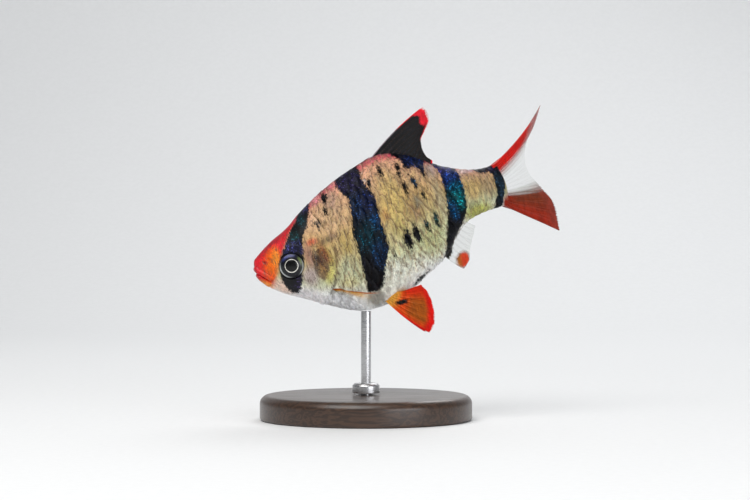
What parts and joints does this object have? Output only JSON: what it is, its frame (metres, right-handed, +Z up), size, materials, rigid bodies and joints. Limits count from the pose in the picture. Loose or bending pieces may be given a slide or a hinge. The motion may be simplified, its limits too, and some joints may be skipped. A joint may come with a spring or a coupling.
{
  "type": "tiger barb on a display stand",
  "caption": "Life-size tiger barb, a deep-bodied banded freshwater fish with spread fins and forked tail, held head-down by a rod on a round base.",
  "frame": {"origin": "centre of the underside of the stand's round base, on the surface that it stands on", "axes": "+Z up, +X from the fish's snout towards its tail as seen from its left side, +Y away from that view, to the fish's right"},
  "size_m": [0.05, 0.034, 0.051],
  "materials": {
    "head_skin": "moist satin skin, red-orange snout fading to a silvery chin, with a black bar through the eye",
    "cheek_skin": "smooth pearly gill cover, brown and olive-gold",
    "eye": "wet black eye with a fine silver ring round the pupil",
    "scaled_skin": "golden-beige scales with a wet sheen and blue-black upright bands",
    "black_fin": "black membrane with fine rays and a bright red edge",
    "clear_fin": "clear membrane with rust-red outer lobes and fine rays",
    "red_fin": "orange-red membrane with a bright red edge",
    "amber_fin": "clear membrane with an amber leading ray",
    "stand_wood": "dark stained hardwood, satin",
    "stand_steel": "brushed stainless steel"
  },
  "bodies": {
    "root": {"head": "head_skin", "lower_jaw": "head_skin", "gill_cover_left": "cheek_skin", "gill_cover_right": "cheek_skin", "eye_left": "eye", "eye_right": "eye", "trunk": "scaled_skin", "tail_stem": "scaled_skin", "dorsal_fin": "black_fin", "tail_fin": "clear_fin", "anal_fin": "clear_fin", "pelvic_fin_left": "red_fin", "pelvic_fin_right": "red_fin", "pectoral_fin_left": "amber_fin", "pectoral_fin_right": "amber_fin", "stand_base": "stand_wood", "stand_collar": "stand_steel", "stand_rod": "stand_steel"}
  },
  "joints": []
}
